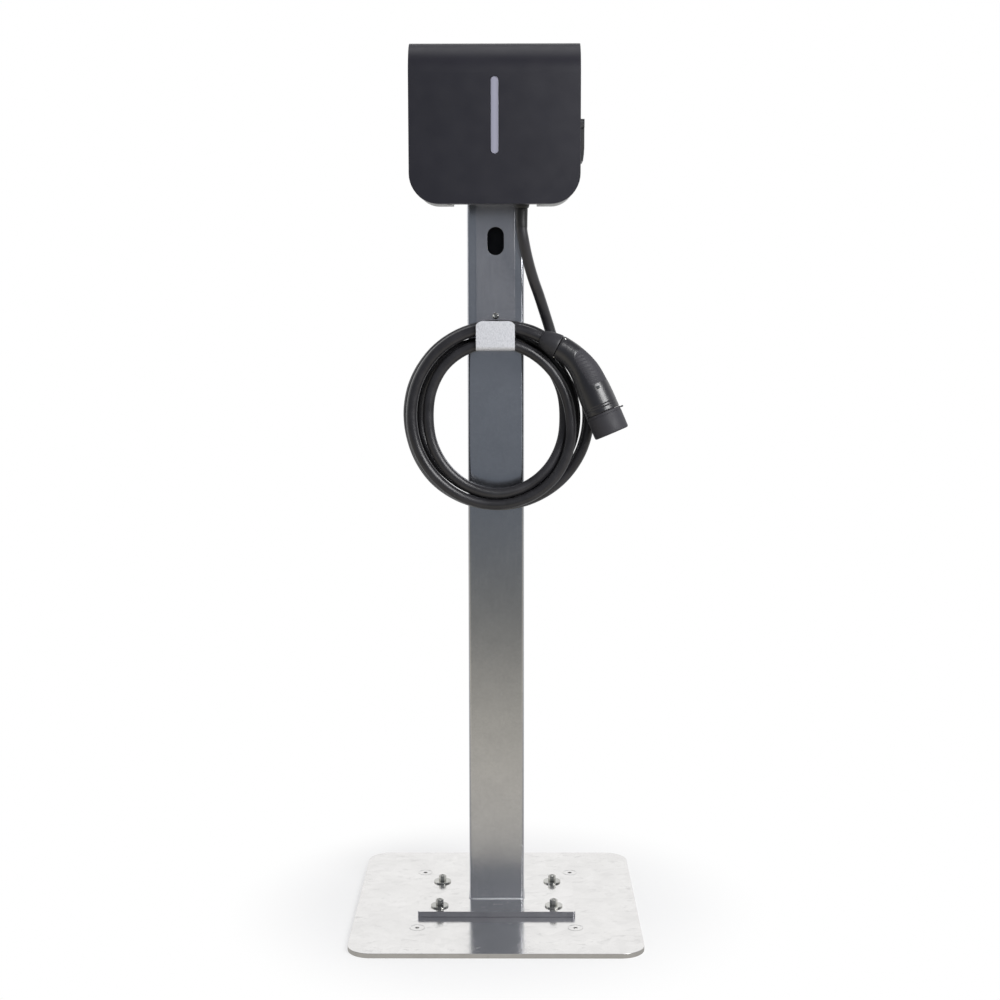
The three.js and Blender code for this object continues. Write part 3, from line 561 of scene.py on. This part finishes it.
# how each turn lies on the hook, clockwise from the top in eighths: millimetres from the coil's
# centre, and millimetres forward of the post's middle. The first turn starts where the drop joins.
TURNS = [
    ((None, 129, 131, 132, 131, 131, 127, 129), (None, 24, 29, 33.3, 33.3, 33.3, 33.3, 33.3)),
    ((129, 132, 132.5, 131, 129, 128, 124, 126), (33.3, 39, 47, 49.9, 49.9, 49.9, 49.9, 49.9)),
    ((126, 113, 113, 117, 116, 112, 114, 114), (49.9, 35, 33.3, 33.3, 33.3, 33.3, 33.3, 40)),
    ((105.5, 103, 97, 105, 111, 104, 98, 104), (49.9, 49.9, 49.9, 57, 66.5, 66.5, 66.5, 66.5)),
    ((105, 102, 105, 120, 127, 124, 122, 125), (66.5,) * 8)]


def smooth_through(knots, step):
    """Points `step` apart on a smooth curve through the knots, however unevenly they are spaced."""
    knots = np.array(knots, float)
    at = np.concatenate([[0], np.cumsum(np.linalg.norm(np.diff(knots, axis=0), axis=1))])
    slope = np.gradient(knots, at, axis=0)
    wanted = np.linspace(0, at[-1], int(round(at[-1] / step)) + 1)
    left = np.clip(np.searchsorted(at, wanted, side="right") - 1, 0, len(at) - 2)
    span = (at[left + 1] - at[left])[:, None]
    t = (wanted - at[left])[:, None] / span
    return ((2 * t**3 - 3 * t**2 + 1) * knots[left] + (t**3 - 2 * t**2 + t) * span * slope[left]
            + (3 * t**2 - 2 * t**3) * knots[left + 1] + (t**3 - t**2) * span * slope[left + 1])


def coil_knots():
    """The turns' knots in the row frame, twice as many as the table's, from a curve through them."""
    table = [(turn + eighth / 8, reach, depth) for turn, (reaches, depths) in enumerate(TURNS)
             for eighth, (reach, depth) in enumerate(zip(reaches, depths)) if reach is not None]
    table.append((len(TURNS), 126, 66.5))
    table = np.array(table)
    fine = np.linspace(table[0, 0], table[-1, 0], 2 * len(table) - 1)
    slopes = np.gradient(table[:, 1:], table[:, 0], axis=0)
    knots = []
    for turn in fine:
        left = min(int(np.searchsorted(table[:, 0], turn, side="right")) - 1, len(table) - 2)
        span = table[left + 1, 0] - table[left, 0]
        t = (turn - table[left, 0]) / span
        reach, depth = ((2 * t**3 - 3 * t**2 + 1) * table[left, 1:]
                        + (t**3 - 2 * t**2 + t) * span * slopes[left]
                        + (3 * t**2 - 2 * t**3) * table[left + 1, 1:]
                        + (t**3 - t**2) * span * slopes[left + 1]) * MM
        angle = math.pi / 2 - 2 * math.pi * turn
        knots.append((COIL_CENTRE[0] + reach * math.cos(angle), -depth,
                      COIL_CENTRE[1] + reach * math.sin(angle)))
    return knots


def settled(points, rounds=80):
    """The route with its turns eased apart, so that the jacket doesn't pass through itself."""
    points = points.copy()
    order = np.arange(len(points))
    near = np.abs(order[:, None] - order[None]) * CORD["step"] < 3 * CORD["diameter"]
    held = (order < 12) | (order > len(points) - 10)
    for _ in range(rounds):
        apart = points[:, None] - points[None]
        gap = np.linalg.norm(apart, axis=2)
        gap[near] = 1
        short = np.clip(CORD["diameter"] - gap, 0, None)
        push = (apart / gap[..., None] * short[..., None]).sum(1) * 0.2
        push[held] = 0
        push[1:-1] = (push[:-2] + 2 * push[1:-1] + push[2:]) / 4
        points += push
    return points


def lead():
    knots = DROP_ROUTE + coil_knots() + TAIL_ROUTE
    points = settled(smooth_through(knots, CORD["step"]))
    data = bpy.data.curves.new("charging_lead", "CURVE")
    data.dimensions, data.use_fill_caps = "3D", True
    data.bevel_depth, data.bevel_resolution = CORD["diameter"] / 2, 5
    line = data.splines.new("POLY")
    line.points.add(len(points) - 1)
    for point, place in zip(line.points, points):
        point.co = (*place, 1)
    line.use_smooth = True
    cable = bpy.data.objects.new("charging_lead", data)
    finished(cable, "cable_rubber", STAND, ("cable_drop", "cable_coil", "cable_tail"))
    length = float(np.linalg.norm(np.diff(points, axis=0), axis=1).sum())
    print("lead", round(length, 3), "m in", len(points), "points")
    return cable, length, points


camera()
studio()
floor()
cable, cable_length, cable_path = lead()


# ---------------------------------------------------------------- wall box

COVER = {"wall": 3 * MM, "roll": 46 * MM, "corner": 41 * MM, "skirt": -121.3 * MM, "edge": 4.4 * MM}
LIGHT = {"half": LENS_HALF, "low": 1.1094, "high": 1.2126, "gap": 0.3 * MM}
COVER_SCREW = {"x": 62 * MM, "y": -128 * MM, "recess": 3.7 * MM}


def hood(name, inset, steps):
    """The cover's outer form, made smaller by `inset` all round and longer at its back."""
    x0, x1 = COVER_LOW.x + inset, COVER_HIGH.x - inset
    y0, y1 = COVER_LOW.y + inset, COVER_HIGH.y + 12 * MM
    z0, z1 = COVER_LOW.z + inset, COVER_HIGH.z - inset
    turn, roll = COVER["corner"] - inset, COVER["roll"] - inset
    face = (corner(x0 + turn, z0 + turn, turn, 180, steps) + corner(x1 - turn, z0 + turn, turn, 270, steps)
            + [(x1, z1), (x0, z1)])
    side = ([(y0, z0 - MM), (y1, z0 - MM), (y1, z1)]
            + corner(y0 + roll, z1 - roll, roll, 90, steps))
    block = prism(name, face, y0, y1, 1)
    return cut_by(block, prism("side", side, x0 - MM, x1 + MM, 0), "INTERSECT")


def box_tool(low, high):
    outline = [(low[0], low[1]), (high[0], low[1]), (high[0], high[1]), (low[0], high[1])]
    return prism("tool", outline, low[2], high[2], 2)


def slot_outline(half, low, high, steps=16):
    return (corner(0, low + half, half, 180, steps) + corner(0, low + half, half, 270, steps)
            + corner(0, high - half, half, 0, steps) + corner(0, high - half, half, 90, steps))


def front_cover():
    piece = hood("cover_shell", 0, 11)
    rounded(piece, COVER["edge"], 6, 40)
    cut_by(piece, hood("hollow", COVER["wall"], 14))
    reach = COVER_HIGH.x + 5 * MM
    under = COVER_HIGH.z - COVER["roll"]
    cut_by(piece, box_tool((-reach, COVER["skirt"], COVER_LOW.z - MM), (reach, 0.1, under)))
    cut_by(piece, box_tool((-reach, COVER_HIGH.y, under - MM), (reach, 0.1, COVER_HIGH.z + MM)))
    slot = prism("slot", slot_outline(LIGHT["half"], LIGHT["low"], LIGHT["high"]),
                 COVER_LOW.y - MM, COVER_LOW.y + 5 * MM, 1)
    cut_by(piece, slot)
    for side in (-1, 1):
        place = (side * COVER_SCREW["x"], COVER_SCREW["y"], COVER_LOW.z)
        profile = [(0, -MM), (COVER_SCREW["recess"], -MM), (COVER_SCREW["recess"], 2 * MM), (0, 2 * MM)]
        cut_by(piece, lathed("recess", profile, 24, upright_at(place), closed=False))
    tidied(piece)
    weight = piece.modifiers.new("weight", "WEIGHTED_NORMAL")
    weight.keep_sharp = True
    applied(piece)
    finished(piece, "cover_plastic", STAND, ("front_cover",))


def light_bar():
    gap = LIGHT["gap"]
    outline = slot_outline(LIGHT["half"] - gap, LIGHT["low"] + gap, LIGHT["high"] - gap)
    lens = prism("light_bar", outline, COVER_LOW.y + 0.5 * MM, COVER_LOW.y + 5 * MM, 1)
    rounded(lens, 0.8 * MM, 4)
    finished(lens, "light_diffuser", STAND, ("light_guide",))


def gland():
    """The ridged nut that clamps the lead, with its rounded end."""
    middle = (GLAND_LOW + GLAND_HIGH) / 2
    ridges, depth = 18, 0.55 * MM
    rim = (GLAND_HIGH.x - GLAND_LOW.x) / 2
    base = GLAND_LOW.z

    def put(radius, height, turn):
        if radius > rim - 0.7 * MM:
            radius += depth * (abs(math.cos(ridges * turn / 2)) - 0.8)
        return about(middle, radius, turn, base + height)
    top = GLAND_HIGH.z - base
    bore = CORD["diameter"] / 2 + 0.3 * MM
    dome = [(8.4, 0), (9.6, 0.8), (10.6, 2.6), (11.1, 5.2), (11.2, 6.6)]
    profile = ([(bore, 0)] + [(radius * MM, height * MM) for radius, height in dome]
               + [(rim, 7.2 * MM), (rim, top - 0.5 * MM), (rim - 0.8 * MM, top), (bore, top)])
    finished(lathed("gland_cap", profile, 144, put, 50), "black_plastic", STAND, ("gland_nut",))


def strain_relief():
    """The soft tapered sleeve that leads the cable out of its gland."""
    long, sides = 26 * MM, 48
    bore = CORD["diameter"] / 2 + 0.1 * MM
    at = np.concatenate([[0], np.cumsum(np.linalg.norm(np.diff(cable_path, axis=0), axis=1))])

    def put(radius, down, turn):
        place = [float(np.interp(down, at, cable_path[:, axis])) for axis in range(3)]
        return about(place, radius, turn, place[2])
    profile = [(bore, 0.3 * MM), (bore + 1.0 * MM, 0.3 * MM)]
    for step in range(1, 10):
        share = step / 10
        profile.append((bore + (1.0 - 0.75 * share) * MM, share * long))
    profile += [(bore + 0.2 * MM, long - 0.5 * MM), (bore, long)]
    profile += [(bore, share * long / 8) for share in range(7, 0, -1)]
    finished(lathed("strain_relief", profile, sides, put, 40), "black_plastic", STAND)


# ---------------------------------------------------------------- connector

PLUG_PLACE = Vector((0.0896, -0.074, 0.8469))
PLUG = {"slope": 27.2, "lean": 6, "bend": math.radians(39.5), "radius": 94 * MM}
PLUG_TURN = (Matrix.Rotation(math.radians(PLUG["slope"]), 3, "Y")
             @ Matrix.Rotation(math.radians(-PLUG["lean"]), 3, "Z"))
# the handle's radius along its axis, in millimetres from the joint with the collar
HANDLE_PROFILE = [
    (0.4, 16.2), (1.0, 16.9), (3, 17.15), (9, 17.2), (18, 17.5), (26, 18.2), (34, 19.1), (42, 20.1),
    (50, 21.1), (58, 22), (66, 22.8), (80, 24.0), (92, 24.6), (103.5, 24.85), (104.2, 24.4), (105, 24.85),
    (107.2, 24.9), (108, 24.4), (108.8, 24.9), (110, 24.9), (114.2, 24.8), (115, 24.2)]
# the lower edge of the matt grip on the handle's sides: millimetres along the axis, and outwards
GRIP_EDGE = [(24, 8), (27, 1.6), (32, -1.8), (41, -4.0), (52, -4.2), (64, -3.0), (72, -1.5), (77, 5)]
# the grip's ribs: the direction across them, before the connector's turn, their relief and their reach
RIBS = {"pitch": 5.2, "lean": (-0.697, 0.717), "height": 0.55, "depth": 0.3, "from": 28, "to": 73}


def handle_radius(along):
    """The handle's radius in millimetres, `along` millimetres from the joint with the collar."""
    return float(np.interp(along, [row[0] for row in HANDLE_PROFILE], [row[1] for row in HANDLE_PROFILE]))


def on_axis(along, aside, out):
    """The row-frame point `along` the connector's curved axis from the joint of collar and handle,
    `aside` of it (towards the front is negative) and `out` from its centre of bend. Metres."""
    arc = PLUG["bend"] * PLUG["radius"]
    bent = min(max(along, 0), arc)
    turn = bent / PLUG["radius"]
    over = along - bent
    flat = Vector(((PLUG["radius"] + out) * math.sin(turn) + over * math.cos(turn), aside,
                   (PLUG["radius"] + out) * math.cos(turn) - PLUG["radius"] - over * math.sin(turn)))
    return PLUG_PLACE + PLUG_TURN @ flat, flat


def round_axis(radius, along, turn):
    return on_axis(along, radius * math.cos(turn), radius * math.sin(turn))[0]


def eased(value, low, high):
    t = min(max((value - low) / (high - low), 0), 1)
    return t * t * (3 - 2 * t)


def grip(along, out, flat):
    """How deep the matt grip's recess is at a point of the handle, 0 to 1, and its relief in metres."""
    edge = float(np.interp(along, [row[0] for row in GRIP_EDGE], [row[1] for row in GRIP_EDGE]))
    inside = eased(out - edge, -0.6, 1.8) * eased(along, 22, 28) * (1 - eased(along, 72, 78))
    across = (RIBS["lean"][0] * flat.x + RIBS["lean"][1] * flat.z) / MM
    band = (eased(out - edge, 1.2, 2.6) * (1 - eased(out - edge, 13, 17))
            * eased(along, RIBS["from"], RIBS["from"] + 2) * (1 - eased(along, RIBS["to"] - 2, RIBS["to"])))
    rib = 0.5 + 0.5 * math.cos(2 * math.pi * across / RIBS["pitch"])
    return inside, (-RIBS["depth"] * inside + RIBS["height"] * rib * band) * MM


def handle_half(name, node, facing):
    """One half of the handle's shell: its outer skin, its inner wall and the joint between halves."""
    stations = np.concatenate([[0.4, 0.7, 1.0, 2.0], np.arange(3, 113, 0.75), [113.4, 114.2, 114.7, 115]])
    outer_turns = np.linspace(-math.pi / 2, math.pi / 2, 81)
    inner_turns = np.linspace(math.pi / 2, -math.pi / 2, 17)
    wall, ease, joint = 3 * MM, 0.35 * MM, 0.15 * MM
    points, matt = [], []
    for along in stations:
        radius = handle_radius(along) * MM
        for number, turn in enumerate(outer_turns):
            reach = radius - (ease if number in (0, len(outer_turns) - 1) else 0)
            out, aside = reach * math.sin(turn), facing * max(reach * math.cos(turn), joint)
            flat = on_axis(along * MM, aside, out)[1]
            share, relief = grip(along, out / MM, flat)
            scale = (reach + relief) / reach
            points.append(on_axis(along * MM, facing * max(reach * math.cos(turn) * scale, joint),
                                  out * scale)[0])
            matt.append(share > 0.5)
        for turn in inner_turns:
            reach = radius - wall
            points.append(on_axis(along * MM, facing * max(reach * math.cos(turn), joint),
                                  reach * math.sin(turn))[0])
            matt.append(False)
    ring = len(outer_turns) + len(inner_turns)
    faces = []
    for row in range(len(stations) - 1):
        for step in range(ring):
            after = (step + 1) % ring
            faces.append((row * ring + step, row * ring + after, (row + 1) * ring + after,
                          (row + 1) * ring + step))
    for row in (0, len(stations) - 1):
        last = row * ring
        skin, wall_points = len(outer_turns), len(inner_turns)
        share = (skin - 1) // (wall_points - 1)
        for step in range(wall_points - 1):
            outer = [last + step * share + k for k in range(share + 1)]
            inner = [last + ring - 1 - step, last + ring - 2 - step]
            faces.append(tuple(outer + inner[::-1]))
    piece = piece_of(name, points, faces, 40)
    finished(piece, "handle_gloss", STAND, (node,))
    repainted(piece, "soft_rubber", lambda face: all(matt[point] for point in face.vertices))
    tidied(piece, 40)


def connector():
    handle_half("handle_front_shell", "handle_front", -1)
    handle_half("handle_back_shell", "handle_back", 1)
    bore = 8.3
    collar = [(bore, -28), (10.0, -28), (10.7, -27.4), (12.2, -24.6), (13.9, -20), (15.3, -15), (16.2, -10),
              (16.8, -6), (17.1, -3), (17.1, -1.1), (16.6, -0.4), (bore, -0.4)]
    sleeve = lathed("collar_sleeve", [(r * MM, s * MM) for r, s in collar], 72, round_axis, 40)
    painted(finished(sleeve, "black_plastic", STAND, ("connector_collar",)), "collar_plastic")
    cap = [(21.9, 115.3), (24.6, 115.3), (25.2, 115.8), (25.3, 116.6), (25.3, 118.6), (24.9, 119.0),
           (24.9, 119.8), (25.3, 120.2), (25.3, 144.9), (25.0, 146.2), (24.2, 147.1), (23.0, 147.5),
           (0, 147.5), (0, 144.3), (21.9, 144.3)]
    finished(lathed("cap_shell", [(r * MM, s * MM) for r, s in cap], 96, round_axis, 35),
             "soft_rubber", "dust_cap", ("dust_cap",))
    cap_tab()
    for number, (along, out) in enumerate([(3.4, 13.6), (0.9, -15.6)]):
        rim = handle_radius(max(along, 1))
        stud(f"joint_stud_{number + 1}", along, out, -math.sqrt(rim**2 - out**2))


def cap_tab():
    """The small pull tab moulded on the dust cap's rim."""
    outline = [(116.4, 24.5), (118.4, 24.5), (118.2, 26.2), (118.8, 28.6), (118.2, 29.8), (117.0, 29.9),
               (116.2, 28.8), (116.5, 26.2)]
    half, count = 2.4, len(outline)
    points = [on_axis(along * MM, aside * MM, out * MM)[0]
              for aside in (-half, half) for along, out in outline]
    faces = [tuple(range(count)), tuple(range(count, 2 * count))]
    faces += [(step, (step + 1) % count, count + (step + 1) % count, count + step) for step in range(count)]
    tab = tidied(piece_of("cap_tab", points, faces))
    finished(rounded(tab, 0.5 * MM, 3), "soft_rubber", "dust_cap")


def stud(name, along, out, face):
    """A small domed screw head on the handle's front, `face` millimetres from its middle plane."""
    profile = [(0, 0.75), (0.7, 0.65), (1.25, 0.3), (1.45, -0.3), (1.45, -1.2), (0, -1.2)]

    def put(radius, height, turn):
        return on_axis((along + radius * math.cos(turn)) * MM, (face - height) * MM,
                       (out + radius * math.sin(turn)) * MM)[0]
    finished(lathed(name, profile, 20, put, closed=False), "zinc", STAND)


# ---------------------------------------------------------------- foot

STUD_THREAD = {"radius": 3 * MM, "pitch": 1 * MM, "depth": 0.35 * MM}
STUD_SOCKET = {"radius": 1.6 * MM, "depth": 3 * MM, "tip": 3.6 * MM}


def threaded_stud(number):
    low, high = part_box(f"foot_stud_{number}")
    middle, top = (low + high) / 2, high.z
    radius, pitch = STUD_THREAD["radius"], STUD_THREAD["pitch"]

    def put(reach, height, turn):
        if reach > 0:
            ridge = abs(2 * ((height / pitch - turn / (2 * math.pi)) % 1) - 1)
            reach -= STUD_THREAD["depth"] * ridge
        return about(middle, reach, turn, height)
    threads = [top - 6 * MM + step * 0.125 * MM for step in range(45)]
    bore = STUD_SOCKET["radius"]
    profile = ([(0, low.z), (radius, low.z)] + [(radius, height) for height in threads]
               + [(radius - 0.5 * MM, top - 0.3 * MM), (radius - 0.8 * MM, top), (bore, top),
                  (bore, top - STUD_SOCKET["depth"]), (0, top - STUD_SOCKET["tip"])])
    piece = lathed(f"stud_{number}", profile, 24, put, 60, closed=False)
    finished(piece, "zinc", STAND, (f"foot_stud_{number}",))


def hex_nut(number):
    low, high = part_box(f"foot_nut_{number}")
    middle = (low + high) / 2
    flat, bore, lift = 5 * MM, 3.3 * MM, 0.35
    third = math.pi / 3

    def put(reach, height, turn):
        if reach > flat:
            reach = flat / math.cos(turn % third - third / 2)
            if height > middle.z:
                height -= lift * (reach - flat)
        return about(middle, reach, turn, height)
    edge = flat + 0.5 * MM
    profile = [(bore, low.z), (flat, low.z), (edge, low.z + 0.05 * MM), (edge, high.z - 0.05 * MM),
               (flat, high.z), (bore + 0.5 * MM, high.z), (bore, high.z - 0.5 * MM)]
    finished(lathed(f"nut_{number}", profile, 96, put, 25), "zinc", STAND, (f"foot_nut_{number}",))


def weld_bead():
    """The fillet weld where the post stands on its flange: a bead with its ripples, once round."""
    half_x, half_y = POST_HIGH.x - 0.4 * MM, POST_HIGH.y - 0.4 * MM
    turn = 4 * MM
    path = []
    for x, y, start in ((1, 1, 0), (-1, 1, 90), (-1, -1, 180), (1, -1, 270)):
        path += corner(x * (half_x - turn), y * (half_y - turn), turn, start, 6)
    path = np.array(path + [path[0]])
    at = np.concatenate([[0], np.cumsum(np.linalg.norm(np.diff(path, axis=0), axis=1))])
    step, size, sides = 0.7 * MM, 1.6 * MM, 12
    places = np.arange(0, at[-1], step)
    count = len(places)
    line = np.stack([np.interp(places, at, path[:, axis]) for axis in (0, 1)], axis=1)
    ahead = np.roll(line, -2, axis=0) - np.roll(line, 2, axis=0)
    ahead /= np.linalg.norm(ahead, axis=1)[:, None]
    points = []
    for number, (place, way) in enumerate(zip(line, ahead)):
        wave = math.sin(2 * math.pi * number * step / (3.1 * MM))
        ripple = 1 + 0.10 * wave + 0.05 * math.sin(number * 0.37)
        for side in range(sides):
            angle = 2 * math.pi * side / sides
            out, rise = size * ripple * math.cos(angle) * 0.85, size * ripple * math.sin(angle) * 0.8
            points.append((place[0] + way[1] * out, place[1] - way[0] * out, POST_LOW.z + rise))
    faces = [(row * sides + side, row * sides + (side + 1) % sides,
              ((row + 1) % count) * sides + (side + 1) % sides, ((row + 1) % count) * sides + side)
             for row in range(count) for side in range(sides)]
    bead = tidied(piece_of("weld_bead", points, faces, 60), 60)
    painted(finished(bead, "post_steel", STAND), "weld")


# ---------------------------------------------------------------- every other node

def repaint_nodes():
    for node, thing in frame["nodes"].items():
        if not thing.material_slots:
            thing.data.materials.append(None)
        for place in thing.material_slots:
            place.material = PAINTS[SLOT_OF[node]]


# how far each node's edges are rounded, in millimetres
ROUNDING = {
    "base_plate": 0.7, "foot_flange": 0.8, "post_tube": 0.4, "post_top_cap": 0.8, "hook_bracket": 0.6,
    "hook_screw": 0.3, "rear_housing": 1.4, "flap_frame": 0.5, "side_flap": 0.5, "entry_plug": 0.6,
    "breaker": 0.5, "breaker_lever": 0.4, "connector_nose": 0.3, "handle_screw": 0.2, "cover_seal": 0.3,
    **{f"foot_washer_{number}": 0.25 for number in range(1, 5)},
    **{f"plate_screw_{number}": 0.15 for number in range(1, 5)},
}

front_cover()
light_bar()
gland()
strain_relief()
connector()
for number in range(1, 5):
    threaded_stud(number)
    hex_nut(number)
weld_bead()
repaint_nodes()
for node, width in ROUNDING.items():
    refined(node, width * MM)


def inside_post(face):
    return abs(face.center.x) < POST_HIGH.x - 2 * MM and abs(face.center.y) < POST_HIGH.y - 2 * MM


# the flange's upright faces: duller cut-edge steel, whose darker tone is partly painted shade
repainted(bpy.data.objects["foot_flange_body"], "cut_edge_steel_and_shade", lambda face: abs(face.normal.z) < 0.5)
# the post's inner faces are painted near black: dull steel and painted shade inside the tube
repainted(bpy.data.objects["post_tube_body"], "dull_inside_and_shade", inside_post)
for number in range(1, 5):
    painted(bpy.data.objects[f"plate_screw_{number}_body"], "bright_plate")
